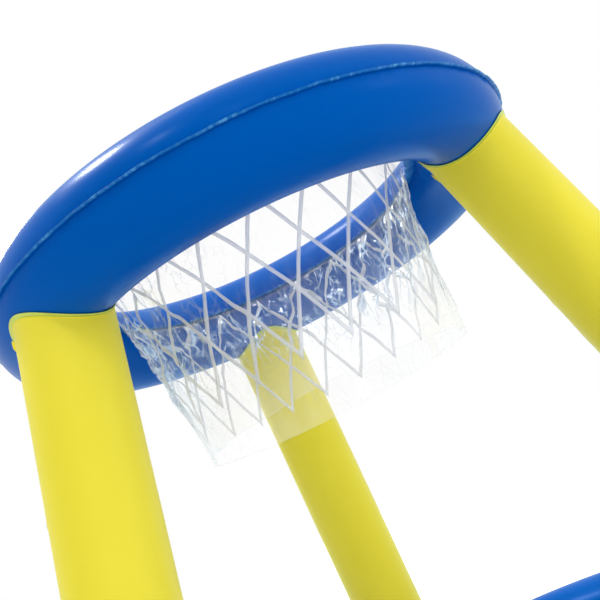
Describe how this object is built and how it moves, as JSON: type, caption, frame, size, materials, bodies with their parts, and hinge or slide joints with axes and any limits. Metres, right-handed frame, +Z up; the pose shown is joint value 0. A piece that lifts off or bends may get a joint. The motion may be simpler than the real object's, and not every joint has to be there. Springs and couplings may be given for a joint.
{
  "type": "floating basketball hoop",
  "caption": "Inflatable pool basketball hoop: round hoop ring with a clear diamond-lattice net, splayed tube legs and a wider floating base ring.",
  "frame": {"origin": "centre of the base ring's underside, on the surface that the hoop stands on", "axes": "+Z up through the hoop ring's centre, +Y towards the back leg, +X to the right seen from the front"},
  "size_m": [0.671, 0.671, 0.5504],
  "materials": {
    "blue_film": "glossy blue vinyl film",
    "yellow_film": "satin yellow vinyl film",
    "clear_film": "clear glossy vinyl film",
    "lattice_print": "light grey print",
    "valve_plastic": "milky soft plastic",
    "plug_plastic": "milky soft plastic"
  },
  "bodies": {
    "inflated_frame": {"hoop_ring_top_sheet": "blue_film", "hoop_ring_bottom_sheet": "blue_film", "base_ring_top_sheet": "blue_film", "base_ring_bottom_sheet": "blue_film", "leg_back": "yellow_film", "leg_back_top_collar": "yellow_film", "leg_back_base_collar": "yellow_film", "leg_front_left": "yellow_film", "leg_front_left_top_collar": "yellow_film", "leg_front_left_base_collar": "yellow_film", "leg_front_right": "yellow_film", "leg_front_right_top_collar": "yellow_film", "leg_front_right_base_collar": "yellow_film", "net_film": "clear_film", "net_lattice": "lattice_print", "hoop_valve_flange": "valve_plastic", "base_valve_flange": "valve_plastic"},
    "hoop_valve_stem": {"hoop_valve_stem": "valve_plastic"},
    "hoop_valve_plug": {"hoop_valve_plug": "plug_plastic", "hoop_valve_strap": "plug_plastic"},
    "hoop_valve_flap": {"hoop_valve_flap": "plug_plastic"},
    "base_valve_stem": {"base_valve_stem": "valve_plastic"},
    "base_valve_plug": {"base_valve_plug": "plug_plastic", "base_valve_strap": "plug_plastic"},
    "base_valve_flap": {"base_valve_flap": "plug_plastic"}
  },
  "joints": [
    {"name": "hoop_valve_push", "type": "slide", "parent": "inflated_frame", "child": "hoop_valve_stem", "axis": [0.3039, 0.4864, 0.8192], "range_m": [0, 0.008]},
    {"name": "hoop_plug_swing", "type": "hinge", "parent": "hoop_valve_stem", "child": "hoop_valve_plug", "pos_m": [0.12959, 0.18003, 0.54516], "axis": [0.4341, 0.6947, -0.5736], "range_deg": [0, 150]},
    {"name": "hoop_flap_swing", "type": "hinge", "parent": "hoop_valve_stem", "child": "hoop_valve_flap", "pos_m": [0.10677, 0.18408, 0.53279], "axis": [0.4341, 0.6947, -0.5736], "range_deg": [0, 60]},
    {"name": "base_valve_push", "type": "slide", "parent": "inflated_frame", "child": "base_valve_stem", "axis": [-0.4967, 0.2868, 0.8192], "range_m": [0, 0.008]},
    {"name": "base_plug_swing", "type": "hinge", "parent": "base_valve_stem", "child": "base_valve_plug", "pos_m": [-0.26542, 0.16998, 0.08656], "axis": [-0.7094, 0.4096, -0.5736], "range_deg": [0, 150]},
    {"name": "base_flap_swing", "type": "hinge", "parent": "base_valve_stem", "child": "base_valve_flap", "pos_m": [-0.26867, 0.14703, 0.07419], "axis": [-0.7094, 0.4096, -0.5736], "range_deg": [0, 60]}
  ]
}
